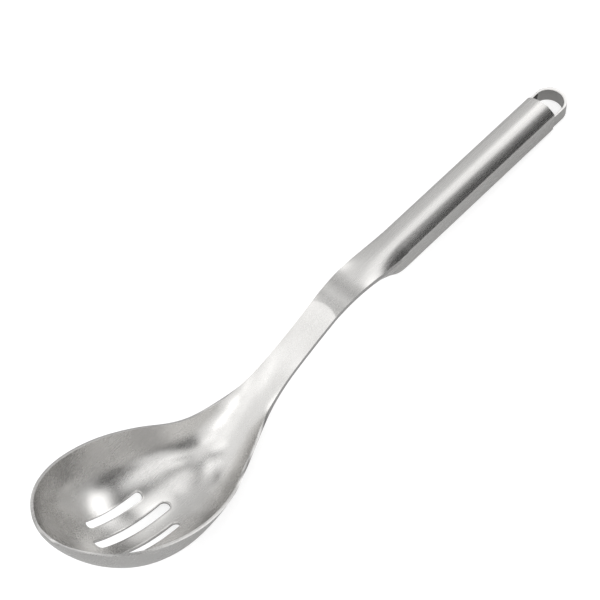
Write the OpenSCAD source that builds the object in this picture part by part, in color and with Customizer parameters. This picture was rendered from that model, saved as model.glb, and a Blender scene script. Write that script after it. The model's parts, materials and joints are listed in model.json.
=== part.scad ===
// Slotted serving spoon in sheet steel with a hollow, welded handle.
//
// The spoon is drawn along its handle first: X runs to the hanging loop, Z is
// square to the handle, and zero is where the handle's rear end meets the line
// of its top side edges. At the very end the whole spoon is tipped and lifted,
// so that it rests on a table on its bowl and on the rear of its handle.

/* [Bowl] */
// Greatest width over the outside of the bowl
bowl_w = 67.2; // [54:0.2:78]
// Length of the bowl from its tip to the valley where the neck starts
bowl_run = 113; // [96:1:130]
// Depth of the inside below the rim
bowl_depth = 28.8; // [18:0.2:34]
// Sheet thickness in the bowl
bowl_sheet = 1.4; // [1:0.1:2.2]
// Upward slope of the rim towards the tip, in degrees to the handle
rim_angle = 26.9; // [20:0.1:34]

/* [Slots] */
// Width of the middle slot
mid_slot_w = 4.9; // [3.5:0.1:6]
// Length of the middle slot, over its round ends
mid_slot_l = 49.3; // [36:0.1:56]
// Width of each side slot
side_slot_w = 3.8; // [2.5:0.1:5]
// Length of each side slot, over its round ends
side_slot_l = 37; // [28:0.5:44]
// Distance from the middle line to the centre of a side slot
slot_pitch = 11.2; // [9:0.1:13]
// Distance along the rim from the tip to the middle of all three slots
slot_centre = 65.5; // [58:0.5:70]

/* [Neck] */
// Width of the neck where it is narrowest
neck_w = 13.7; // [12:0.1:16]
// Length of the neck from the valley to the crest
neck_run = 87; // [70:1:100]
// Length from the crest to the handle
shank_run = 41; // [38:1:54]
// Downward slope of the neck, in degrees to the handle
neck_angle = 21.6; // [16:0.1:28]
// Sheet thickness in the neck
neck_sheet = 2.7; // [2.2:0.1:3.2]
// Length over which the sheet bends at the crest
crest_bend = 25; // [18:1:32]
// Length over which the sheet bends in the valley
valley_bend = 35; // [26:1:44]
// Length over which the handle's dome dies out in the shank
dome_fade = 32; // [24:1:38]

/* [Handle] */
// Width of the handle
handle_w = 16.5; // [15:0.1:20]
// Length of the handle from the shank to its rear end
handle_l = 109; // [90:1:130]
// Height of the domed top above its side edges
dome_h = 3.2; // [2.4:0.1:4.2]
// Depth of the handle's sides below the top's side edges
side_h = 12; // [10.5:0.1:14]
// Wall thickness of both handle shells
wall = 1.5; // [1:0.1:1.9]
// Rounding of the handle's bottom edges
edge_r = 1.5; // [0.8:0.1:2.5]
// Radius with which the nose leaves the shank
nose_out_r = 39; // [34:0.5:44]
// Radius with which the nose runs into the handle's bottom
nose_in_r = 14.4; // [10:0.1:18]
// Thickness of the nose's front edge
nose_lip = 0.5; // [0.4:0.1:0.8]

/* [Tongue] */
// Length of the blade's tongue inside the handle
tongue_l = 20; // [12:1:30]
// Width of the tongue
tongue_w = 12; // [8:0.5:12]
// Thickness of the tongue
tongue_t = 1; // [0.6:0.1:1]
// Gap between the tongue and the top shell
tongue_gap = 0.1; // [0.05:0.05:0.2]

/* [Hanging loop] */
// Height of the loop's strip
loop_h = 7.65; // [5:0.05:8]
// Thickness of the loop's strip along its sides
loop_t = 1.15; // [1:0.05:1.6]
// Thickness of the loop's strip at its round end
loop_end_t = 1.9; // [1.6:0.1:2.6]
// Straight length of each side of the loop
loop_leg = 6.4; // [4:0.1:16]
// Distance from the top's side edges down to the strip
loop_drop = 1.7; // [1:0.1:2]
// Thickness of the plate that closes the handle
plate_t = 1.5; // [1:0.1:3]

/* [Hidden] */
$fn = 48;

// Every cut runs past the face it starts from by this much
overrun = 2;
// Length of the tongue's root that lies inside the shank
tongue_root = 3;
// Length of shank beyond the dome's fade that the nose can reach
edge_room = 12;
// Number of steps between two rows of the outline, and across the sheet
row_steps = 4;
across_steps = 20;
// Number of steps in which the blade's side view is added up
spine_steps = 300;

steel = [0.78, 0.78, 0.77];
steel_dark = [0.64, 0.64, 0.65];

// The blade's outline from the tip to the handle. Each row gives its place,
// where 0 is the tip, 1 the valley, 2 the crest and 3 the handle, and then its
// half width as shares of the bowl's, the neck's and the handle's half width.
outline_shares = [
    [0, 0, 0, 0], [0, 0.24, 0, 0], [0.1, 0.66, 0, 0], [0.24, 0.89, 0, 0],
    [0.39, 1, 0, 0], [0.57, 1.01, 0, 0], [0.72, 0.92, 0, 0], [0.86, 0.78, 0, 0],
    [0.975, 0.57, 0, 0], [1.135, 0.24, 0.8, 0], [1.27, 0.08, 0.98, 0],
    [1.46, 0, 1.04, 0], [1.67, 0, 1, 0], [1.87, 0, 1, 0], [2.085, 0, 0.4, 0.6],
    [2.42, 0, 0.15, 0.85], [2.72, 0, 0, 1.01], [3, 0, 0, 1]
];
// How much deeper the bowl gets from its tip to its heel, and around where
lean_share = 1.13;
lean_middle_share = 0.52;
// How much fuller than a parabola the bowl's section is, overall and at the rim
full_share = 0.7;
rim_full_share = 1.65;
// Where the depth starts to die out towards the neck, and over what distance
fade_start_share = 0.12;
fade_over_share = 1.65;
// Where the sheet gets its full thickness, and where its edge turns upright
thick_start_share = 1.13;
upright_start_share = 1.1;
sheet_over_share = 0.5;

inner_half_w = bowl_w/2 - bowl_sheet;
blade_run = bowl_run + neck_run + shank_run;
valley_at = shank_run + neck_run;

// A step from 0 to 1 that starts and ends level
function ease(t) = let (u = min(max(t, 0), 1)) u*u*(3 - 2*u);

// Distance from the tip to a place on the blade, and the place at a distance
function run_at(place) = bowl_run*min(place, 1)
    + neck_run*min(max(place - 1, 0), 1) + shank_run*max(place - 2, 0);
function place_at(run) = run < bowl_run ? run/bowl_run : 1 + (run - bowl_run)/neck_run;

// Slope of the blade's middle line at a distance from the handle
function heading(s) = (neck_angle + rim_angle)*ease((s - valley_at)/valley_bend + 0.5)
    - neck_angle*ease((s - shank_run)/crest_bend + 0.5);

// The middle line itself, added up step by step from the handle to the tip
spine_step = blade_run/spine_steps;
function spine_from(k, x, z) = k > spine_steps ? [] :
    let (a = heading((k + 0.5)*spine_step))
    concat([[x, z]], spine_from(k + 1, x - spine_step*cos(a), z + spine_step*sin(a)));
spine = spine_from(0, -handle_l, dome_h);
function spine_at(s) =
    let (k = min(max(floor(s/spine_step), 0), spine_steps - 1), u = s/spine_step - k)
    spine[k]*(1 - u) + spine[k + 1]*u;

// The outline is a smooth curve through its rows: distance from the tip and
// half width. One more row at each end makes it start square and end in line.
rows = [for (r = outline_shares)
    [run_at(r[0]), r[1]*inner_half_w + (r[2]*neck_w + r[3]*handle_w)/2]];
last_row = len(rows) - 1;
guides = concat([[rows[1][0], -rows[1][1]]], rows, [2*rows[last_row] - rows[last_row - 1]]);
function curve_weights(u) = [pow(1 - u, 3), 3*pow(u, 3) - 6*u*u + 4,
    -3*pow(u, 3) + 3*u*u + 3*u + 1, pow(u, 3)]/6;
function curve_point(k, u) = let (c = curve_weights(u))
    c[0]*guides[k] + c[1]*guides[k + 1] + c[2]*guides[k + 2] + c[3]*guides[k + 3];
stations = [for (k = [0:last_row], i = [0:row_steps - 1])
    if (k < last_row || i == 0)
        k < last_row ? curve_point(k, i/row_steps) : curve_point(last_row - 1, 1)];
last_station = len(stations) - 1;

// Drop of a round dome from its crown at a distance from the middle
function dome_drop(y, half_w, rise) = rise <= 0 ? 0 :
    let (bend = 2*rise/(half_w*half_w + rise*rise))
    bend*y*y/(1 + sqrt(max(1 - bend*bend*y*y, 0)));

// Depth of the bowl along the middle line, as a share that still has to be
// scaled, and the fullness of its section
function depth_along(place) = (1 + lean_share*(place - lean_middle_share))
    *(1 - ease((place - fade_start_share)/fade_over_share));
function fullness(t) = t*(1 + full_share*(1 - t) + rim_full_share*pow(1 - t, 4));
deepest_share = max([for (q = stations)
    depth_along(place_at(q[0]))*fullness(pow(q[1]/inner_half_w, 2))]);

// A point on top of the sheet: a station's place and a share of its half width
function sheet_sink(q, across) =
    bowl_depth/deepest_share*depth_along(place_at(q[0]))
        *fullness(pow(q[1]/inner_half_w, 2)*(1 - across*across))
    + dome_drop(q[1]*across, q[1], dome_h*(1 - ease((blade_run - q[0])/dome_fade)));
function sheet_point(q, across) =
    let (s = blade_run - q[0], p = spine_at(s), a = heading(s), h = -sheet_sink(q, across))
    [p[0] + h*sin(a), q[1]*across, p[1] + h*cos(a)];
acrosses = [for (j = [0:across_steps]) sin(180*j/across_steps - 90)];
top_grid = [for (q = stations) [for (v = acrosses) sheet_point(q, v)]];

// The sheet's thickness is laid off square to its surface in the bowl and
// square to the middle line in the neck, so that the neck's edges are upright
function grid_normal(i, j) =
    let (along = top_grid[min(i + 1, last_station)][j] - top_grid[max(i - 1, 0)][j],
        over = top_grid[i][min(j + 1, across_steps)] - top_grid[i][max(j - 1, 0)],
        n = cross(along, over))
    n/norm(n);
function sheet_normal(i, j) = i == 0 ? grid_normal(1, across_steps/2) :
    let (q = stations[i], a = heading(blade_run - q[0]),
        upright = ease((place_at(q[0]) - upright_start_share)/sheet_over_share),
        n = grid_normal(i, j)*(1 - upright) + [sin(a), 0, cos(a)]*upright)
    n/norm(n);
function sheet_thickness(q) = bowl_sheet + (neck_sheet - bowl_sheet)
    *ease((place_at(q[0]) - thick_start_share)/sheet_over_share);
under_grid = [for (i = [0:last_station]) [for (j = [0:across_steps])
    top_grid[i][j] - sheet_normal(i, j)*sheet_thickness(stations[i])]];

// The handle's own levels
handle_half_w = handle_w/2;
dome_r = (handle_half_w*handle_half_w + dome_h*dome_h)/(2*dome_h);
seam_z = -neck_sheet;
nose_top = dome_h - neck_sheet;
nose_angle = acos(1 - (side_h + nose_top)/(nose_out_r + nose_in_r));
nose_end = -handle_l;
nose_start = nose_end - (nose_out_r + nose_in_r)*sin(nose_angle);
nose_front = nose_start + sqrt(2*nose_out_r*nose_lip);
loop_end = loop_leg + handle_half_w - loop_t + loop_end_t;

// How the spoon lies on a table: the tip of the angle is at the handle's rear
// bottom edge, and the lowest point of the bowl sets its size
middle_under = [for (row = under_grid) row[across_steps/2]];
rest_tilt = max([for (p = middle_under) atan2(-side_h - p[2], -p[0])]);
function rest_x(p) = p[0]*cos(rest_tilt) + p[2]*sin(rest_tilt);
function rest_z(p) = -p[0]*sin(rest_tilt) + p[2]*cos(rest_tilt);
rest_front = min([for (p = middle_under) rest_x(p)]);
rest_rear = rest_x([loop_end, 0, -loop_drop]);
rest_floor = rest_z([0, 0, -side_h]);
module at_rest() {
    translate([-(rest_front + rest_rear)/2, 0, -rest_floor])
        rotate([0, rest_tilt, 0]) children();
}

// A flat shape drawn in Y and Z, run along X between two places
module along_x(from, to) {
    translate([from, 0, 0]) rotate([90, 0, 90]) linear_extrude(to - from) children();
}
// A flat shape drawn in X and Z, run across the middle plane
module across_y(width) {
    rotate([90, 0, 0]) linear_extrude(width, center = true) children();
}
// A flat box from one corner to the opposite one
module flat_box(low, high) {
    translate(low) square(high - low);
}

// A band of sheet between two grids of points, closed all round. A first row
// whose points coincide is left as a point.
module sheet_band(upper, lower, pointed) {
    n = len(upper);
    m = len(upper[0]);
    points = concat([for (row = upper) each row], [for (row = lower) each row]);
    start = pointed ? 1 : 0;
    function up(i, j) = pointed && i == 0 ? 0 : i*m + j;
    function low(i, j) = pointed && i == 0 ? n*m : (n + i)*m + j;
    skins = [for (i = [start:n - 2], j = [0:m - 2]) each [
        [up(i, j), up(i, j + 1), up(i + 1, j + 1)], [up(i, j), up(i + 1, j + 1), up(i + 1, j)],
        [low(i, j), low(i + 1, j + 1), low(i, j + 1)], [low(i, j), low(i + 1, j), low(i + 1, j + 1)]]];
    tips = pointed ? [for (j = [0:m - 2]) each [
        [up(0, 0), up(1, j + 1), up(1, j)], [low(0, 0), low(1, j), low(1, j + 1)]]] : [];
    sides = [for (i = [0:n - 2]) each [
        [up(i, 0), up(i + 1, 0), low(i, 0)], [low(i, 0), up(i + 1, 0), low(i + 1, 0)],
        [up(i, m - 1), low(i, m - 1), up(i + 1, m - 1)],
        [low(i, m - 1), low(i + 1, m - 1), up(i + 1, m - 1)]]];
    back = [for (j = [0:m - 2]) each [
        [up(n - 1, j), up(n - 1, j + 1), low(n - 1, j)],
        [low(n - 1, j), up(n - 1, j + 1), low(n - 1, j + 1)]]];
    front = pointed ? [] : [for (j = [0:m - 2]) each [
        [up(0, j), low(0, j), up(0, j + 1)], [low(0, j), low(0, j + 1), up(0, j + 1)]]];
    polyhedron(points, concat(skins, tips, sides, back, front));
}

// One slot with round ends, from the rim's plane down through the bowl
module slot(width, length, side) {
    depth = bowl_depth + bowl_sheet + overrun;
    straight = length - width;
    translate([slot_centre, side, -depth]) linear_extrude(depth) {
        square([straight, width], center = true);
        for (end = [-1, 1]) translate([end*straight/2, 0]) circle(d = width);
    }
}

// The handle's domed section, moved down by a depth and cut to a half width
module dome_section(sunk, half_w, floor_z) {
    intersection() {
        translate([0, dome_h - dome_r - sunk]) circle(dome_r, $fn = 96);
        flat_box([-half_w, floor_z], [half_w, dome_h]);
    }
}
// The handle's lower section: a trough with rounded bottom edges
module trough_section(inset) {
    r = max(edge_r - inset, overrun/100);
    half_w = handle_half_w - inset;
    floor_z = -side_h + inset;
    flat_box([-half_w, floor_z + r], [half_w, dome_h]);
    flat_box([-half_w + r, floor_z], [half_w - r, dome_h]);
    for (side = [-1, 1]) translate([side*(half_w - r), floor_z + r]) circle(r);
}
// The side view of the lower shell's nose and bottom, moved inwards by a depth
module nose_view(inset) {
    steps = 14;
    leaving = [for (k = [0:steps]) let (a = nose_angle*k/steps)
        [nose_start + (nose_out_r + inset)*sin(a),
            nose_top - nose_out_r + (nose_out_r + inset)*cos(a)]];
    joining = [for (k = [steps - 1:-1:0]) let (a = nose_angle*k/steps)
        [nose_end - (nose_in_r - inset)*sin(a), nose_in_r - side_h - (nose_in_r - inset)*cos(a)]];
    polygon(concat(leaving, joining, [[overrun, -side_h + inset], [overrun, dome_h],
        [nose_start, dome_h]]));
}

module bowl_and_neck() {
    color(steel) at_rest() {
        difference() {
            sheet_band(top_grid, under_grid, true);
            translate([top_grid[0][0][0], 0, top_grid[0][0][2]]) rotate([0, rim_angle, 0]) {
                slot(mid_slot_w, mid_slot_l, 0);
                for (side = [-slot_pitch, slot_pitch]) slot(side_slot_w, side_slot_l, side);
            }
        }
        along_x(-handle_l - tongue_root, -handle_l + tongue_l) difference() {
            dome_section(wall + tongue_gap, tongue_w/2, seam_z);
            dome_section(wall + tongue_gap + tongue_t, tongue_w/2 + overrun, seam_z - overrun);
        }
    }
}

module handle_top_shell() {
    color(steel) at_rest() along_x(-handle_l, 0) difference() {
        dome_section(0, handle_half_w, seam_z);
        dome_section(wall, handle_half_w - wall, seam_z - overrun);
    }
}

// The space that the lower shell may fill: below the shank's underside and
// within its outline, and below the seam along the handle
module below_blade() {
    near = [for (i = [0:last_station]) if (blade_run - stations[i][0] < dome_fade + edge_room) i];
    sheet_band([for (i = near) under_grid[i]],
        [for (i = near) [for (p = under_grid[i]) p - [0, 0, 2*side_h]]], false);
    along_x(-handle_l - tongue_root, overrun)
        flat_box([-handle_half_w, -2*side_h], [handle_half_w, seam_z]);
}

module handle_bottom_shell() {
    color(steel_dark) at_rest() intersection() {
        difference() {
            intersection() {
                across_y(handle_w + overrun) nose_view(0);
                along_x(nose_front, 0) trough_section(0);
            }
            intersection() {
                across_y(handle_w - 2*wall) nose_view(wall);
                along_x(nose_front - overrun, overrun) trough_section(wall);
            }
        }
        below_blade();
    }
}

module hanging_loop() {
    color(steel_dark) at_rest() translate([0, 0, -loop_drop - loop_h]) linear_extrude(loop_h)
        difference() {
            union() {
                flat_box([0, -handle_half_w], [loop_end - handle_half_w, handle_half_w]);
                translate([loop_end - handle_half_w, 0]) circle(handle_half_w, $fn = 96);
            }
            flat_box([-overrun, loop_t - handle_half_w], [loop_leg, handle_half_w - loop_t]);
            translate([loop_leg, 0]) circle(handle_half_w - loop_t, $fn = 96);
        }
}

module handle_end_plate() {
    color(steel_dark) at_rest() along_x(-plate_t, 0) {
        dome_section(wall, handle_half_w - wall, seam_z);
        intersection() {
            trough_section(wall);
            flat_box([-handle_w, -side_h], [handle_w, seam_z]);
        }
    }
}

bowl_and_neck();
handle_top_shell();
handle_bottom_shell();
hanging_loop();
handle_end_plate();
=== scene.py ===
# %% [markdown]
# # A slotted serving spoon in brushed steel
#
# The spoon is a stamped blade (bowl, neck and shank in one sheet), welded to a
# hollow handle of two pressed shells, with a bent strip as a hanging loop. The
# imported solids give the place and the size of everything. They are faceted, and
# on brushed metal every facet shows, so each visible piece is made again here
# as a smooth mesh over its solid, and the solid stays as the frame.

# %% Load the frame
import json
import math

import bmesh
import bpy
from mathutils import Matrix, Vector


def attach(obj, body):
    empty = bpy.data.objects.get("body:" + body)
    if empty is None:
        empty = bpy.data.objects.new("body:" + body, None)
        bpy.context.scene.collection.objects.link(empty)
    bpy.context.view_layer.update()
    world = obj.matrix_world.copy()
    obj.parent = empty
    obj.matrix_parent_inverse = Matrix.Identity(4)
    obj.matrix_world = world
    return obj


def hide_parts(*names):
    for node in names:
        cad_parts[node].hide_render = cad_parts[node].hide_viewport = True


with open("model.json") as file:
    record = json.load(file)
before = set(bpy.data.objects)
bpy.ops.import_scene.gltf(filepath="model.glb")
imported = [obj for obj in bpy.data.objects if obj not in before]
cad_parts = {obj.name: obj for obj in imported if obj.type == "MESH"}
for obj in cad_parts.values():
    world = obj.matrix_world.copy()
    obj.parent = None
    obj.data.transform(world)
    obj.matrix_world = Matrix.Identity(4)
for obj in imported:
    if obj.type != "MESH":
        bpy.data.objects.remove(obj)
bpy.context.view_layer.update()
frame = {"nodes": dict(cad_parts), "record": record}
scene = bpy.context.scene
print("solids:", sorted(frame["nodes"]))

# %% [markdown]
# ## Where the spoon lies
#
# It is easiest to draw the spoon along its handle: X runs to the loop, Z is
# square to the handle's top, and zero is where the rear end meets the top's
# side edges. All drawing is done there in millimetres. One matrix then tips the
# drawing onto the table and turns it into metres. The flat underside of the
# handle is recorded as an interface, so its place and direction give that matrix.

# %% The handle's place on the table
handle_l = 109.0
side_h = 12.0
underside = next(m for m in frame["record"]["mounts"] if m["name"] == "handle_underside")
tilt = math.atan2(-underside["axis"][0], -underside["axis"][2])
turn = Matrix.Rotation(tilt, 4, "Y")
underside_x = -50.0
corner = Vector(underside["pos_m"])*1000 - turn @ Vector((underside_x, 0, -side_h))
on_table = Matrix.Scale(0.001, 4) @ Matrix.Translation(corner) @ turn
print("the handle is tipped by", round(math.degrees(tilt), 2), "degrees")

# %% [markdown]
# ## The camera
#
# The photograph was taken with a long lens from above the near side of the
# bowl. Its direction was found by fitting the handle's edges and the rim, and is
# written in the handle's own frame: the angle round it, the height above it and
# a slight roll.

# %% Camera
view_round = math.radians(-49.34)
view_height = math.radians(55.0)
view_roll = math.radians(0.91)
view_distance = 1117.8
view_target = Vector((-175.68, 0, 25.03))
lens_length = 151.69
sensor = 36.0

back = Vector((math.sin(view_round)*math.cos(view_height),
    -math.cos(view_round)*math.cos(view_height), math.sin(view_height)))
level = Vector((math.cos(view_round), math.sin(view_round), 0))
above = back.cross(level)
right = level*math.cos(view_roll) + above*math.sin(view_roll)
camera = bpy.data.objects.new("camera", bpy.data.cameras.new("camera"))
scene.collection.objects.link(camera)
axes = Matrix((right, back.cross(right), back)).transposed().to_4x4()
seat = Matrix.Translation(view_target + back*view_distance) @ axes
tipped = Matrix.Translation(corner) @ turn @ seat
aimed = tipped.to_quaternion().to_matrix().to_4x4()
camera.matrix_world = Matrix.Translation(tipped.translation*0.001) @ aimed
camera.data.sensor_width = sensor
camera.data.lens = lens_length
camera.data.clip_start = 0.01
scene.camera = camera
print("camera at", [round(c, 3) for c in camera.location])

# %% [markdown]
# ## Small tools
#
# Every piece is drawn in a bmesh and ends the same way: moved onto the table,
# smoothed, given its material and tied to the body, while its solid is hidden.
# Edges that should stay crisp get a small bevel instead of a sharp
# shading split, because on metal it is the bevel that catches the light. Large
# flat faces beside small roundings shade unevenly, so some pieces weigh their
# normals by face size. The stretched shine of brushed steel follows the mesh's
# texture space. Its centre is put far off, ten metres beyond the bowl, so that
# the stretch has one direction all over.

# %% Finish a piece
crisp_angle = math.radians(50)
texture_centre, texture_size = (-10, 0, 0), (1, 1, 1)
on_plane = 1e-4


def finish_piece(bm, name, node, materials):
    bmesh.ops.transform(bm, matrix=on_table, verts=bm.verts)
    for face in bm.faces:
        face.smooth = True
    for edge in bm.edges:
        edge.smooth = edge.calc_face_angle(0) < crisp_angle
    mesh = bpy.data.meshes.new(name)
    bm.to_mesh(mesh)
    bm.free()
    mesh.use_auto_texspace = False
    mesh.texspace_location = texture_centre
    mesh.texspace_size = texture_size
    piece = bpy.data.objects.new(name, mesh)
    scene.collection.objects.link(piece)
    for material in materials:
        mesh.materials.append(material)
    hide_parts(node)
    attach(piece, "root")
    print(name, "has", len(mesh.vertices), "points and", len(mesh.polygons), "faces")
    return piece


def even_shading(piece):
    piece.modifiers.new("even shading", "WEIGHTED_NORMAL").keep_sharp = True


def pick(geometry, kind):
    return [item for item in geometry if isinstance(item, kind)]


def round_edges(bm, edges, size, segments):
    made = bmesh.ops.bevel(bm, geom=list(edges), offset=size, offset_type="OFFSET", segments=segments,
        profile=0.5, affect="EDGES", material=-1, clamp_overlap=True)
    return made["faces"]


def ease(t):
    t = min(max(t, 0.0), 1.0)
    return t*t*(3 - 2*t)

# %% [markdown]
# ## Shader values that can be added up
#
# A material is a sum of masks and noises. Written as nodes that is long, so a
# small class wraps a socket: adding or multiplying two of them adds the Math
# node. Any other node comes from one method.

# %% A wrapper for sockets
class Value:
    def __init__(self, paint, socket):
        self.paint = paint
        self.socket = socket

    def __add__(self, other):
        return self.paint.math("ADD", self, other)

    def __radd__(self, other):
        return self.paint.math("ADD", other, self)

    def __sub__(self, other):
        return self.paint.math("SUBTRACT", self, other)

    def __rsub__(self, other):
        return self.paint.math("SUBTRACT", other, self)

    def __mul__(self, other):
        return self.paint.math("MULTIPLY", self, other)

    def __rmul__(self, other):
        return self.paint.math("MULTIPLY", other, self)

    def other(self, name):
        return Value(self.paint, self.socket.node.outputs[name])


class Paint:
    def __init__(self, owner):
        owner.use_nodes = True
        self.owner = owner
        self.tree = owner.node_tree
        self.tree.nodes.clear()

    def node(self, kind, settings=None, output=0, **inputs):
        made = self.tree.nodes.new(kind)
        for key, value in (settings or {}).items():
            setattr(made, key, value)
        for key, value in inputs.items():
            socket = made.inputs[int(key)] if key.isdigit() else made.inputs[key.replace("_", " ")]
            if isinstance(value, Value):
                self.tree.links.new(value.socket, socket)
            else:
                socket.default_value = value
        return Value(self, made.outputs[output]) if made.outputs else None

    def math(self, operation, first, second, third=0.5):
        return self.node("ShaderNodeMath", {"operation": operation},
            **{"0": first, "1": second, "2": third})

    def mix(self, factor, first, second):
        made = self.tree.nodes.new("ShaderNodeMix")
        made.data_type = "RGBA"
        for socket, value in zip((made.inputs[0], made.inputs[6], made.inputs[7]), (factor, first, second)):
            if isinstance(value, Value):
                self.tree.links.new(value.socket, socket)
            else:
                socket.default_value = value
        return Value(self, made.outputs[2])

    def spread(self, value, low, high, to_low, to_high):
        return self.node("ShaderNodeMapRange", {"interpolation_type": "SMOOTHSTEP"}, Value=value,
            From_Min=low, From_Max=high, To_Min=to_low, To_Max=to_high)

# %% [markdown]
# ## Brushed steel
#
# The spoon is satin all over. Brushing leaves fine grooves that run along it, so
# a reflection stays sharp along the spoon and smears across it. That is what an
# anisotropic shine does, and the grooves themselves are noise that is stretched
# a long way in one direction. They go into the roughness and into a very weak
# bump: a strong bump would look like damage. In the bowl the wheel also leaves
# patches of single strokes at a slant. Colour hardly changes on steel, so only
# faint cloudy patches go there.
#
# The sheet's cut edge is duller than the brushed faces. Its colour also carries
# painted light: the edge faces that look sideways or down get a darker steel, a
# painted shade, and the faces of its rounding that point up get a paler steel, a
# painted highlight. Each has its own finish.

# %% Steel finishes
fine_size, broad_size = (0.009, 0.0005), (0.05, 0.0018)
stroke_kinds = [(11, 0.007, 0.42, 0.72), (-13, 0.006, 0.45, 0.75)]
stroke_width = 0.0005
fine_rough, broad_rough, cloud_rough, stroke_rough = 0.06, 0.03, 0.02, 0.03
fine_height, broad_height, groove_depth = 0.8, 0.2, 0.0001
cloud_scale, patch_edges, shade_edges = 60.0, (0.40, 0.62), (0.7, 1.3)
noise_middle, noise_gain = 0.5, 0.55
cloud_darker = 0.96
stretch = 0.5


def steel(name, colour, roughness, groove_bump, stroke_bump=0.0):
    paint = Paint(bpy.data.materials.new(name))
    place = paint.node("ShaderNodeTexCoord", output="Object")
    along = paint.node("ShaderNodeMapping", Vector=place, Rotation=(0, -tilt, 0))

    def grooves(slant, length, width, detail=2.0):
        turned = paint.node("ShaderNodeMapping", Vector=along, Rotation=(0, 0, math.radians(slant)))
        stretched = paint.node("ShaderNodeMapping", Vector=turned, Scale=(1/length, 1/width, 1/width))
        return paint.node("ShaderNodeTexNoise", Vector=stretched, Scale=1.0, Detail=detail,
            Roughness=noise_gain)

    fine = grooves(0, *fine_size)
    broad = grooves(0, *broad_size)
    cloud = paint.node("ShaderNodeTexNoise", Vector=along, Scale=cloud_scale, Detail=3.0,
        Roughness=noise_gain)
    rough = roughness + (fine - noise_middle)*fine_rough
    rough = rough + (broad - noise_middle)*broad_rough + (cloud - noise_middle)*cloud_rough
    height = fine*fine_height + broad*broad_height
    if stroke_bump:
        patches = paint.spread(cloud, *patch_edges, 0.0, 1.0)
        both = [paint.spread(grooves(slant, length, stroke_width, 1.0), low, high, 0.0, 1.0)
            for slant, length, low, high in stroke_kinds]
        strokes = (both[0] + both[1])*patches
        rough = rough + strokes*stroke_rough
        height = height - strokes*(stroke_bump/groove_bump)
    bump = paint.node("ShaderNodeBump", Strength=groove_bump, Distance=groove_depth, Height=height)
    shade = paint.spread(broad + cloud, *shade_edges, 0.0, 1.0)
    tint = paint.mix(shade, (*[c*cloud_darker for c in colour], 1), (*colour, 1))
    shader = paint.node("ShaderNodeBsdfPrincipled", Base_Color=tint, Metallic=1.0, Roughness=rough,
        Normal=bump, Anisotropic=stretch)
    paint.node("ShaderNodeOutputMaterial", Surface=shader)
    return paint.owner


satin_blade = steel("satin blade steel", (0.63, 0.622, 0.61), 0.26, 0.05, stroke_bump=0.03)
satin_handle = steel("satin handle steel", (0.63, 0.622, 0.61), 0.27, 0.035)
satin_loop = steel("satin loop steel", (0.57, 0.563, 0.553), 0.25, 0.04)
# A darker, slightly duller copy of the steel: painted shade on edge faces that look sideways or down.
cut_edge_painted_shade = steel("cut edge steel with painted shade", (0.50, 0.494, 0.485), 0.28, 0.03)
# A paler copy of the steel: a painted highlight on rim faces that point up.
painted_highlight_steel = steel("rim steel with painted highlight", (0.78, 0.77, 0.76), 0.18, 0.02)
print("finishes:", [m.name for m in (satin_blade, satin_handle, satin_loop, cut_edge_painted_shade, painted_highlight_steel)])

# %% [markdown]
# ## The blade's side view
#
# Bowl, neck and shank are one sheet, and seen from the side its middle line is a
# chain of gentle bends: level in the handle, down along the neck, up along the
# rim. The slope at each distance from the handle is a sum of two eased steps,
# and adding it up in short steps gives the line.

# %% Middle line
bowl_w, bowl_run, bowl_depth, bowl_sheet = 67.2, 113.0, 28.8, 1.4
neck_w, neck_run, shank_run, neck_sheet = 13.7, 87.0, 41.0, 2.7
handle_w, dome_h, dome_fade = 16.5, 3.2, 32.0
rim_angle, neck_angle = math.radians(26.9), math.radians(21.6)
crest_bend, valley_bend = 25.0, 35.0
blade_run = bowl_run + neck_run + shank_run
valley_at = shank_run + neck_run
inner_half_w = bowl_w/2 - bowl_sheet


def heading(s):
    return ((neck_angle + rim_angle)*ease((s - valley_at)/valley_bend + 0.5)
        - neck_angle*ease((s - shank_run)/crest_bend + 0.5))


spine_step = 0.1
spine = [Vector((-handle_l, dome_h))]
for k in range(round(blade_run/spine_step) + 20):
    slope = heading((k + 0.5)*spine_step)
    spine.append(spine[-1] + Vector((-math.cos(slope), math.sin(slope)))*spine_step)


def spine_at(s):
    if s <= 0:
        return spine[0] - Vector((s, 0))
    k = min(int(s/spine_step), len(spine) - 2)
    return spine[k].lerp(spine[k + 1], s/spine_step - k)


print("the tip is at", [round(c, 1) for c in spine_at(blade_run)])

# %% [markdown]
# ## The blade's outline
#
# The outline is a smooth curve through a few rows. Each row says how far along
# the blade it is and how wide, as shares of the bowl's, the neck's and the
# handle's half width. Near the tip the width grows like a circle's, so the
# square of the half width is kept: it grows evenly and is safe to interpolate.
# The rows were set to round shares after a fit to the photograph's outline.

# %% Outline
outline_shares = [
    (0, 0, 0, 0), (0, 0.24, 0, 0), (0.1, 0.66, 0, 0), (0.24, 0.89, 0, 0), (0.39, 1, 0, 0),
    (0.57, 1.01, 0, 0), (0.72, 0.92, 0, 0), (0.86, 0.78, 0, 0), (0.975, 0.57, 0, 0),
    (1.135, 0.24, 0.8, 0), (1.27, 0.08, 0.98, 0), (1.46, 0, 1.04, 0), (1.67, 0, 1, 0),
    (1.87, 0, 1, 0), (2.085, 0, 0.4, 0.6), (2.42, 0, 0.15, 0.85), (2.72, 0, 0, 1.01), (3, 0, 0, 1)]


def run_at(place):
    return bowl_run*min(place, 1) + neck_run*min(max(place - 1, 0), 1) + shank_run*max(place - 2, 0)


def place_at(run):
    return run/bowl_run if run < bowl_run else 1 + (run - bowl_run)/neck_run


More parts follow.
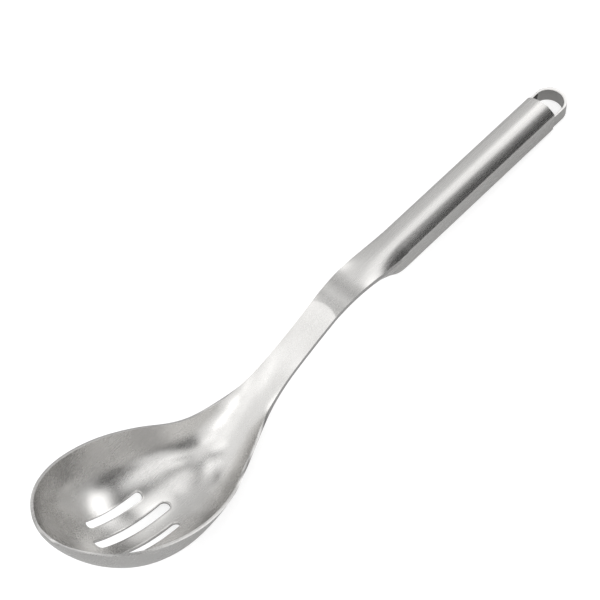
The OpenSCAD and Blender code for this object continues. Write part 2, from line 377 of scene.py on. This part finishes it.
rows = [Vector((run_at(at), bowl*inner_half_w + (neck*neck_w + grip*handle_w)/2))
    for at, bowl, neck, grip in outline_shares]
guides = [Vector((rows[1].x, -rows[1].y)), *rows, 2*rows[-1] - rows[-2]]
outline = []
steps_per_row = 80
for k in range(len(rows) - 1):
    for step in range(steps_per_row + (k == len(rows) - 2)):
        u = step/steps_per_row
        weights = ((1 - u)**3, 3*u**3 - 6*u*u + 4, -3*u**3 + 3*u*u + 3*u + 1, u**3)
        point = sum((w*g for w, g in zip(weights, guides[k:k + 4])), Vector((0, 0)))/6
        outline.append((point.x, point.y**2))


def half_width_squared(run):
    low, high = 0, len(outline) - 1
    while high - low > 1:
        middle = (low + high)//2
        low, high = (middle, high) if outline[middle][0] <= run else (low, middle)
    (x0, y0), (x1, y1) = outline[low], outline[high]
    return y0 + (y1 - y0)*(run - x0)/(x1 - x0)


def half_width(run):
    return math.sqrt(max(half_width_squared(run), 0))


print("widest half:", round(max(math.sqrt(q) for _, q in outline), 1), "mm inside the rim")

# %% [markdown]
# ## The surface of the sheet
#
# Across, the bowl is fuller than a parabola and steep at the rim. Along, it gets
# deeper towards the heel and then dies out up the neck. In the shank the sheet
# takes on the handle's dome. One function gives the point for a distance from
# the tip and a distance from the middle, and its slopes give the normal. A low
# ridge, the crease, crosses the neck where it bends over into the shank.

# %% Sheet surface
heel_gain, even_at = 1.13, 0.52
fade_from, fade_over = 0.12, 1.65
full_gain, rim_gain = 0.7, 1.65


def depth_along(place):
    return (1 + heel_gain*(place - even_at))*(1 - ease((place - fade_from)/fade_over))


def fullness(t):
    return t*(1 + full_gain*(1 - t) + rim_gain*(1 - t)**4)


def dome_drop(y, half_w, rise):
    if rise <= 0:
        return 0.0
    bend = 2*rise/(half_w*half_w + rise*rise)
    return bend*y*y/(1 + math.sqrt(max(1 - bend*bend*y*y, 0)))


deepest = max(depth_along(place_at(run))*fullness(squared/inner_half_w**2) for run, squared in outline)
crease_at, crease_bow, crease_rise, crease_soft = 48.2, 0.038, 0.25, 0.35
crease_to_bowl, crease_to_handle = 5.0, 4.0
crease_zone = (25, 80)


def crease(s, y):
    """A low ridge across the neck, where the flat neck meets the rounded shank."""
    off = s - crease_at - crease_bow*y*y
    fall = crease_to_bowl if off > 0 else crease_to_handle
    return crease_rise*math.exp((crease_soft - math.hypot(off, crease_soft))/fall)


def sheet_point(run, y):
    s = blade_run - run
    squared = half_width_squared(run)
    sink = bowl_depth/deepest*depth_along(place_at(run))*fullness((squared - y*y)/inner_half_w**2)
    sink += dome_drop(y, math.sqrt(max(squared, 0.01)), dome_h*(1 - ease(s/dome_fade)))
    if crease_zone[0] < s < crease_zone[1]:
        sink -= crease(s, y)
    slope = heading(s)
    at = spine_at(s)
    return Vector((at.x - sink*math.sin(slope), y, at.y - sink*math.cos(slope)))


upright_from, thicker_from, change_over = 1.1, 1.13, 0.5
slope_reach = 0.05


def sheet_normal(run, y, reach=slope_reach):
    along = sheet_point(run + reach, y) - sheet_point(run - reach, y)
    over = sheet_point(run, y + reach) - sheet_point(run, y - reach)
    facing = along.cross(over).normalized()
    slope = heading(blade_run - run)
    upright = ease((place_at(run) - upright_from)/change_over)
    return facing.lerp(Vector((math.sin(slope), 0, math.cos(slope))), upright).normalized()


def sheet_thickness(run):
    return bowl_sheet + (neck_sheet - bowl_sheet)*ease((place_at(run) - thicker_from)/change_over)


mid_bowl = bowl_run/2
at_rim = sheet_point(mid_bowl, half_width(mid_bowl))
print("depth at mid bowl:", round(at_rim.z - sheet_point(mid_bowl, 0).z, 1))

# %% [markdown]
# ## A net that fits the slots
#
# The slots could be cut with a boolean, but that leaves thin triangles that show
# on metal. Instead the net of the sheet is laid so that its own lines run along
# the slots: some lines of the net keep a fixed distance from the middle in the
# slotted part, and near a slot's end the cross lines bow round it in a half
# circle. Then a slot is simply the faces between its lines, taken out.

# %% Lines of the net
slot_centre, slot_pitch = 65.5, 11.2
slots = [(0.0, 4.9/2, 49.3), (-slot_pitch, 3.8/2, 37.0), (slot_pitch, 3.8/2, 37.0)]
inner_zone = 15.0
reference_half_w = 31.0
inner_share = inner_zone/reference_half_w
mid_lines, bar_lines, side_lines, outer_lines, rim_lines = 5, 8, 8, 2, 22
rim_crowding = 0.9
tip_zone, tip_rows = 30.0, 30
bowl_step, neck_step, fine_step, shank_step = 1.15, 1.2, 0.32, 1.0
fine_from, fine_to = 187.0, 195.0
hold_from, hold_over, free_from, free_over = 14, 16, 92, 20
bow_reach = 7.0


def spaced(low, high, count):
    return [low + (high - low)*k/count for k in range(count)]


def round_spaced(middle, half, count):
    return [middle - half*math.cos(math.pi*k/count) for k in range(count)]


mid_half, side_half = slots[0][1], slots[1][1]
half_lines = [mid_half*math.sin(math.pi/2*k/mid_lines) for k in range(mid_lines)]
half_lines += spaced(mid_half, slot_pitch - side_half, bar_lines)
half_lines += round_spaced(slot_pitch, side_half, side_lines)
half_lines += spaced(slot_pitch + side_half, inner_zone, outer_lines)
half_shares = [y/reference_half_w for y in half_lines]
half_shares += [inner_share + (1 - inner_share)*math.sin(math.pi/2*k/rim_lines)**rim_crowding
    for k in range(rim_lines + 1)]
across_shares = [-s for s in reversed(half_shares[1:])] + half_shares

slot_ends = sorted(round(slot_centre + way*(length/2 - half), 1)
    for middle, half, length in slots[:2] for way in (-1, 1))
zones = [(end, bowl_step) for end in slot_ends + [bowl_run]]
zones += [(fine_from, neck_step), (fine_to, fine_step), (blade_run, shank_step)]
stops = [tip_zone]
for high, step in zones:
    low = stops[-1]
    stops += spaced(low, high, math.ceil((high - low)/step))[1:] + [high]
runs = [tip_zone*(k/tip_rows)**2 for k in range(tip_rows)] + stops


def line_place(run, share):
    """Distance from the middle of the net's line at this distance from the tip."""
    width = half_width(run)
    plain = width*share
    size = abs(share)
    if size <= inner_share:
        fixed = reference_half_w*size
    else:
        fixed = inner_zone + (width - inner_zone)*(size - inner_share)/(1 - inner_share)
    hold = ease((run - hold_from)/hold_over)*(1 - ease((run - free_from)/free_over))
    return plain + (math.copysign(fixed, share) - plain)*hold


def bow(run, y):
    """How far a cross line moves to go round the end of a slot."""
    for middle, half, length in slots:
        inside = half*half - (y - middle)**2
        if inside <= 0:
            continue
        straight = length/2 - half
        if run <= slot_centre - straight:
            return -math.sqrt(inside)*(1 - ease((slot_centre - straight - run)/bow_reach))
        if run >= slot_centre + straight:
            return math.sqrt(inside)*(1 - ease((run - slot_centre - straight)/bow_reach))
    return 0.0


print("net:", len(runs), "cross lines,", len(across_shares), "long lines")

# %% [markdown]
# ## The blade
#
# The net starts as a flat grid. Its points are moved onto the sheet's surface,
# the faces of the slots are deleted, and the whole skin is extruded to give the
# underside. The rim and the slots' edges are then rounded, the rim more, because
# a hand runs along it when the spoon is washed.
#
# A smooth sheet bulges a little past its faceted solid. Three small trims bring
# it back to the solid's box, to within a few hundredths of a millimetre: the
# bottom is raised by some hundredths, the tip is lowered by less than half a
# millimetre, and the width shrinks by a small share.

# %% Blade
low_trim, tip_trim, side_trim = 0.055, 0.41, 0.9994
low_zone, tip_from, tip_over = 5, 60, 16
rim_r, slot_edge_r = 0.3, 0.16
rim_band, tip_band, end_band = 1.0, 2.0, 0.01
# How far up a face of the rim's rounding must point to get the painted highlight.
painted_highlight_above = 0.1


def build_blade():
    bm = bmesh.new()
    columns, lines = len(across_shares) - 1, len(runs) - 1
    bmesh.ops.create_grid(bm, x_segments=columns, y_segments=lines, size=1)
    run_layer = bm.verts.layers.float.new("run")
    across_layer = bm.verts.layers.float.new("across")
    base = {}
    for vert in bm.verts:
        j = round((vert.co.x + 1)/2*columns)
        i = round((vert.co.y + 1)/2*lines)
        y = line_place(runs[i], across_shares[j])
        base[vert] = (runs[i], y)
        run = runs[i] + bow(runs[i], y)
        vert[run_layer] = run
        vert[across_layer] = y
    holes = []
    for face in bm.faces:
        run = sum(base[v][0] for v in face.verts)/4
        y = sum(base[v][1] for v in face.verts)/4
        for middle, half, length in slots:
            if abs(y - middle) < half and abs(run - slot_centre) < length/2 - half:
                holes.append(face)
    bmesh.ops.delete(bm, geom=holes, context="FACES")
    for vert in bm.verts:
        vert.co = sheet_point(vert[run_layer], vert[across_layer])
    bmesh.ops.remove_doubles(bm, verts=bm.verts, dist=0.0005)
    bmesh.ops.recalc_face_normals(bm, faces=bm.faces)
    if sum(face.normal.z*face.calc_area() for face in bm.faces) < 0:
        bmesh.ops.reverse_faces(bm, faces=bm.faces)
    made = bmesh.ops.extrude_face_region(bm, geom=bm.faces, use_keep_orig=True)
    for vert in pick(made["geom"], bmesh.types.BMVert):
        run, y = vert[run_layer], vert[across_layer]
        vert.co = sheet_point(run, y) - sheet_normal(run, y)*sheet_thickness(run)
    for vert in bm.verts:
        high = (corner + turn @ vert.co).z
        vert.co.z += low_trim*max(0.0, 1 - high/low_zone)**2
        vert.co.z -= tip_trim*max(0.0, (high - tip_from)/tip_over)**2
        vert.co.y *= side_trim
    bmesh.ops.recalc_face_normals(bm, faces=bm.faces)
    rim_edges = []
    slot_edges = []
    for edge in bm.edges:
        if len(edge.link_faces) == 2 and edge.calc_face_angle() > crisp_angle:
            run = (edge.verts[0][run_layer] + edge.verts[1][run_layer])/2
            y = (edge.verts[0][across_layer] + edge.verts[1][across_layer])/2
            if run > blade_run - end_band:
                continue
            outer = half_width(run) - abs(y) < rim_band or run < tip_band
            (rim_edges if outer else slot_edges).append(edge)
    print("rim edges", len(rim_edges), "slot edges", len(slot_edges))
    # The cut edge and the rim rounding's faces that look sideways or down get the darker steel, a painted
    # shade; those that point up get the paler steel, a painted highlight.
    rim = set(rim_edges)
    sides = [face for face in bm.faces if sum(edge in rim for edge in face.edges) == 2]
    for face in sides:
        face.material_index = 1
    for face in round_edges(bm, rim_edges, rim_r, 3):
        face.normal_update()
        point = face.verts[0]
        upward = sheet_normal(point[run_layer], point[across_layer]).dot(face.normal)
        face.material_index = 2 if upward > painted_highlight_above else 1
    slot_edges = [edge for edge in slot_edges if edge.is_valid]
    round_edges(bm, slot_edges, slot_edge_r, 2)
    finish_piece(bm, "blade", "bowl_and_neck", [satin_blade, cut_edge_painted_shade, painted_highlight_steel])


build_blade()

# %% [markdown]
# ## A pressed shell
#
# Both halves of the handle are sheet pressed to a section that runs along the
# handle. The section is a list of points across, and it may change on the way.
# A grid is laid on it and thickened inwards. Where a rounding is asked for, the
# two corners between the top and the sides get the little that a press leaves.

# %% Shell of a changing section
seam_z = -neck_sheet
wall = 1.5
fold_angle = math.radians(25)
fold_zone, seam_zone = 0.9, 0.5
along_share = 0.7


def is_top_corner(edge):
    """A fold that runs along the handle, at its side and well above the seam."""
    first, second = (vert.co for vert in edge.verts)
    return (len(edge.link_faces) == 2 and edge.calc_face_angle() > fold_angle
        and abs((first - second).normalized().x) > along_share
        and max(abs(first.y), abs(second.y)) > handle_w/2 - fold_zone
        and max(first.z, second.z) > seam_z + seam_zone)


def shell(name, node, section, places, corner_r, materials):
    count = len(section(places[0]))
    bm = bmesh.new()
    bmesh.ops.create_grid(bm, x_segments=count - 1, y_segments=len(places) - 1, size=1)
    for vert in bm.verts:
        x = places[round((vert.co.y + 1)/2*(len(places) - 1))]
        y, z = section(x)[round((vert.co.x + 1)/2*(count - 1))]
        vert.co = Vector((x, y, z))
    bmesh.ops.recalc_face_normals(bm, faces=bm.faces)
    outward = 0.0
    for face in bm.faces:
        middle = face.calc_center_median()
        outward += face.normal.dot(Vector((0, middle.y, middle.z - seam_z)))
    if outward < 0:
        bmesh.ops.reverse_faces(bm, faces=bm.faces)
    bmesh.ops.solidify(bm, geom=bm.faces, thickness=wall)
    bmesh.ops.recalc_face_normals(bm, faces=bm.faces)
    if corner_r:
        round_edges(bm, [edge for edge in bm.edges if is_top_corner(edge)], corner_r, 4)
    even_shading(finish_piece(bm, name, node, materials))

# %% [markdown]
# ## The handle's top
#
# A shallow round dome with short upright sides. The line where dome and side
# meet is crisp on the real handle, so it gets a rounding of only half a
# millimetre. The shell ends flush with the shank in front.

# %% Handle top
dome_r = ((handle_w/2)**2 + dome_h**2)/(2*dome_h)
crown_r = 0.5
crown_steps, handle_steps = 16, 40


def dome_section(x):
    lean = math.asin(handle_w/2/dome_r)
    leans = [lean*k/crown_steps for k in range(-crown_steps, crown_steps + 1)]
    crown = [(dome_r*math.sin(a), dome_h - dome_r + dome_r*math.cos(a)) for a in leans]
    sides = [(handle_w/2, seam_z*share) for share in (1/3, 2/3, 1)]
    return [(-y, z) for y, z in reversed(sides)] + crown + sides


handle_places = [-handle_l + handle_l*k/handle_steps for k in range(handle_steps + 1)]
shell("handle_top", "handle_top_shell", dome_section, handle_places, crown_r, [satin_handle])

# %% [markdown]
# ## The handle's underside and nose
#
# A trough with rounded bottom edges. In front it becomes the nose: its floor
# rises in an S-shaped sweep until it meets the underside of the shank, and its
# sides stay flush with the shank's edges.

# %% Handle bottom
edge_r = 1.5
nose_out_r, nose_in_r = 39.0, 14.4
nose_top = dome_h - neck_sheet
nose_angle = math.acos(1 - (side_h + nose_top)/(nose_out_r + nose_in_r))
nose_start = -handle_l - (nose_out_r + nose_in_r)*math.sin(nose_angle)
nose_front, nose_steps = -141.5, 34
seam_overlap, least_side = 0.02, 0.01
side_steps, edge_steps, floor_steps = 4, 6, 4
edge_limit = 0.9


def nose_floor(x):
    if x < nose_start + nose_out_r*math.sin(nose_angle):
        return nose_top - nose_out_r + math.sqrt(nose_out_r**2 - (x - nose_start)**2)
    if x < -handle_l:
        return nose_in_r - side_h - math.sqrt(nose_in_r**2 - (x + handle_l)**2)
    return -side_h


def trough_section(x):
    if x < -handle_l:
        s = -handle_l - x
        half_w = half_width(blade_run - s)
        top = sheet_point(blade_run - s, half_w).z - neck_sheet + seam_overlap
    else:
        half_w, top = handle_w/2, seam_z
    floor = min(nose_floor(x), top - least_side)
    r = min(edge_r, (top - floor)*edge_limit)
    side = [(half_w, top + (floor + r - top)*k/side_steps) for k in range(side_steps)]
    bends = [math.pi/2*k/edge_steps for k in range(edge_steps + 1)]
    side += [(half_w - r + r*math.cos(a), floor + r - r*math.sin(a)) for a in bends]
    side += [((half_w - r)*(1 - k/floor_steps), floor) for k in range(1, floor_steps + 1)]
    return [(-y, z) for y, z in side] + [(y, z) for y, z in reversed(side[:-1])]


nose_places = spaced(nose_front, -handle_l, nose_steps)
shell("handle_bottom", "handle_bottom_shell", trough_section, nose_places + handle_places, 0, [satin_handle])

# %% [markdown]
# ## The hanging loop
#
# A flat strip on edge, bent once round a half circle. Its section is swept
# along one leg, round the bend and back, which is also how it is made. Outside,
# the round end is pushed out a little, because there the strip is thicker.

# %% Hanging loop
loop_h, loop_leg, loop_drop = 7.65, 6.4, 1.7
loop_t, loop_end_t = 1.15, 1.9
strip_edge_r = 0.16


def build_loop():
    bm = bmesh.new()
    bmesh.ops.create_grid(bm, x_segments=1, y_segments=1, size=0.5)
    stand = Matrix.Translation((0, handle_w/2 - loop_t/2, -loop_drop - loop_h/2)) @ Matrix.Rotation(
        math.radians(90), 4, "Y") @ Matrix.Diagonal((loop_h, loop_t, 1, 1))
    bmesh.ops.transform(bm, matrix=stand, verts=bm.verts)
    start = list(bm.faces)
    made = bmesh.ops.extrude_face_region(bm, geom=start, use_keep_orig=True)
    tip = pick(made["geom"], bmesh.types.BMFace)
    bmesh.ops.translate(bm, vec=(loop_leg, 0, 0), verts=tip[0].verts)
    turned = bmesh.ops.spin(bm, geom=tip, cent=(loop_leg, 0, 0), axis=(0, 0, 1), angle=-math.pi, steps=48)
    tip = pick(turned["geom_last"], bmesh.types.BMFace)
    made = bmesh.ops.extrude_face_region(bm, geom=tip)
    tip = pick(made["geom"], bmesh.types.BMFace)
    bmesh.ops.translate(bm, vec=(-loop_leg, 0, 0), verts=tip[0].verts)
    bmesh.ops.remove_doubles(bm, verts=bm.verts, dist=0.001)
    bmesh.ops.recalc_face_normals(bm, faces=bm.faces)
    for vert in bm.verts:
        from_bend = Vector((vert.co.x - loop_leg, vert.co.y))
        if from_bend.x > -on_plane and from_bend.length > (handle_w - loop_t)/2:
            vert.co.x += loop_end_t - loop_t
    edges = [edge for edge in bm.edges if len(edge.link_faces) == 2
        and edge.calc_face_angle() > crisp_angle and not all(abs(v.co.x) < on_plane for v in edge.verts)]
    round_edges(bm, edges, strip_edge_r, 2)
    even_shading(finish_piece(bm, "loop", "hanging_loop", [satin_loop]))


build_loop()

# %% [markdown]
# ## The end plate
#
# A thin plate fills the handle's rear end between the two shells. It sits flush,
# and only the fine line round it shows, inside the loop.

# %% End plate
plate_t, plate_edge_r = 1.5, 0.15
plate_steps, plate_side_z = 10, -4.0


def build_plate():
    inside_w = handle_w/2 - wall
    inner_r = dome_r - wall
    lean = math.asin(inside_w/inner_r)
    leans = [lean*k/plate_steps for k in range(plate_steps + 1)]
    outline_half = [(inner_r*math.sin(a), dome_h - dome_r + inner_r*math.cos(a)) for a in leans]
    outline_half += [(inside_w, plate_side_z), (inside_w, -side_h + wall)]
    ring = [(-y, z) for y, z in reversed(outline_half[1:])] + outline_half
    bm = bmesh.new()
    made = bmesh.ops.create_circle(bm, cap_ends=True, segments=len(ring), radius=1)
    for vert, (y, z) in zip(made["verts"], ring):
        vert.co = Vector((0, y, z))
    made = bmesh.ops.extrude_face_region(bm, geom=list(bm.faces), use_keep_orig=True)
    bmesh.ops.translate(bm, vec=(-plate_t, 0, 0), verts=pick(made["geom"], bmesh.types.BMVert))
    bmesh.ops.recalc_face_normals(bm, faces=bm.faces)
    front = [edge for edge in bm.edges if all(abs(v.co.x) < on_plane for v in edge.verts)]
    round_edges(bm, front, plate_edge_r, 2)
    even_shading(finish_piece(bm, "end_plate", "handle_end_plate", [satin_loop]))


build_plate()

# %% [markdown]
# ## The floor
#
# The photograph has a pure white ground. A grey matt floor that glows for the
# camera gives it, and the spoon's shadow still darkens it. In the metal's
# reflections the floor stays a mid grey. It lies a hair below the spoon, so that
# the two never share a plane.

# %% Floor
floor_half, floor_drop = 4, 0.0004
floor_grey = 0.5
seen_glow, mirrored_glow = 0.66, 0.08


def build_floor():
    bm = bmesh.new()
    bmesh.ops.create_grid(bm, x_segments=2, y_segments=2, size=floor_half)
    bmesh.ops.translate(bm, vec=(0, 0, -floor_drop), verts=bm.verts)
    mesh = bpy.data.meshes.new("floor")
    bm.to_mesh(mesh)
    bm.free()
    floor = bpy.data.objects.new("floor", mesh)
    scene.collection.objects.link(floor)
    paper = Paint(bpy.data.materials.new("white paper"))
    seen = paper.node("ShaderNodeLightPath", output="Is Camera Ray")
    mirrored = paper.node("ShaderNodeLightPath", output="Is Glossy Ray")
    through = paper.node("ShaderNodeLightPath", output="Is Transmission Ray")
    glowing = seen_glow*seen + mirrored_glow*mirrored + mirrored_glow*through
    matt = paper.node("ShaderNodeBsdfDiffuse", Color=(floor_grey, floor_grey, floor_grey, 1))
    glow = paper.node("ShaderNodeEmission", Color=(1, 1, 1, 1), Strength=glowing)
    shader = paper.node("ShaderNodeAddShader", **{"0": matt, "1": glow})
    paper.node("ShaderNodeOutputMaterial", Surface=shader)
    mesh.materials.append(paper.owner)


build_floor()
scene.view_settings.view_transform = "Standard"
print("floor is", 2*floor_half, "metres wide")

# %% [markdown]
# ## Light round the spoon
#
# Steel shows its surroundings, so the room is what makes it look like steel. The
# room is drawn as a sky: one level all round, and soft-edged cards that add
# light or take it away. Each card says where it starts and ends on the way round
# (degrees from the direction of the loop, the far side at 90), how low and how
# high it reaches, and how much it adds. Dark cards make the dark stripe along
# the handle, and light ones the bright parts beside it. Where the cards stand was
# first found by a fit of the picture's brightness to the photograph's. They were
# then set in steps of five degrees.

# %% Light round the spoon
cards = [
    ("black card behind the loop's near side", 300, 375, 15, 70, -1.1),
    ("grey wall on the far side", 70, 120, 0, 90, -0.9),
    ("dark ground in front", 260, 325, -10, 10, -2.5),
    ("large soft light on the left", 160, 205, 35, 85, 0.3),
    ("gap between the top lights", 15, 45, 45, 95, -1.4),
    ("low light on the right", 315, 365, -10, 20, 1.3),
    ("low light on the far side", 75, 120, -10, 60, 0.9),
    ("dark room above the camera", 260, 280, 5, 55, -1.4),
    ("narrow light in front", 310, 330, 50, 65, 2.0),
    ("long light over the right side", -10, 35, 30, 65, 1.45),
    ("top light on the left", 135, 155, 60, 85, 1.1),
    ("black card on the near side", 300, 325, -10, 45, -1.4),
    ("grey room on the right", 35, 80, -10, 45, -0.4)]
card_edge = 6.0
room_level, darkest = 1.17, 0.04


def light_room(level):
    room = Paint(bpy.data.worlds.new("studio"))
    facing = room.node("ShaderNodeTexCoord", output="Generated")
    parts = room.node("ShaderNodeSeparateXYZ", Vector=facing)
    degrees = 180/math.pi
    round_it = room.math("ARCTAN2", parts.other("Y"), parts)*degrees
    height = room.math("ARCSINE", parts.other("Z"), 0.0)*degrees
    light = level
    for name, start, end, low, high, change in cards:
        off = room.math("ABSOLUTE", room.math("WRAP", round_it - (start + end)/2, 180.0, -180.0), 0.0)
        across = room.spread(off, (end - start)/2 - card_edge, (end - start)/2 + card_edge, 1.0, 0.0)
        off = room.math("ABSOLUTE", height - (low + high)/2, 0.0)
        upright = room.spread(off, (high - low)/2 - card_edge, (high - low)/2 + card_edge, 1.0, 0.0)
        light = light + across*upright*change
    light = room.math("MAXIMUM", light, darkest)
    shader = room.node("ShaderNodeBackground", Color=(1, 1, 1, 1), Strength=light)
    room.node("ShaderNodeOutputWorld", Surface=shader)
    scene.world = room.owner


light_room(room_level)
print("cards:", len(cards))

# %% [markdown]
# ## Lamps that stand near
#
# A lamp that stands near the spoon lies in another direction from the bowl than
# from the handle. These give the bright spots in the bowl's wall while the same
# direction stays dark for the handle. Each row says how high the lamp hangs and
# where on the way round, in degrees, its width and height in metres, and how
# bright its face is.

# %% Near lamps
near_lamps = [
    ("near lamp in front of the bowl", 35, 315, 0.14, 0.13, 1.5),
    ("near lamp on the far side", 10, 75, 0.16, 0.14, 1.0),
    ("near lamp above the far side", 60, 65, 0.13, 0.11, 0.9),
    ("near lamp above the bowl", 60, 245, 0.13, 0.11, 0.6),
    ("near lamp at the left", 35, 225, 0.14, 0.13, 1.2)]
lamp_reach = 0.32
lamp_middle = Vector((-0.11, 0, 0.03))


def hang_lamp(name, height, round_it, wide, tall, strength):
    up, turned = math.radians(height), math.radians(round_it)
    away = Vector((math.cos(up)*math.cos(turned), math.cos(up)*math.sin(turned), math.sin(up)))
    beside = Vector((-math.sin(turned), math.cos(turned), 0))
    data = bpy.data.lights.new(name, "AREA")
    data.shape = "RECTANGLE"
    data.size = wide
    data.size_y = tall
    data.energy = strength*math.pi*wide*tall
    lamp = bpy.data.objects.new(name, data)
    scene.collection.objects.link(lamp)
    lamp.visible_camera = False
    facing = Matrix((beside, away.cross(beside), away)).transposed().to_4x4()
    lamp.matrix_world = Matrix.Translation(lamp_middle + away*lamp_reach) @ facing


for row in near_lamps:
    hang_lamp(*row)
print("near lamps:", len(near_lamps))
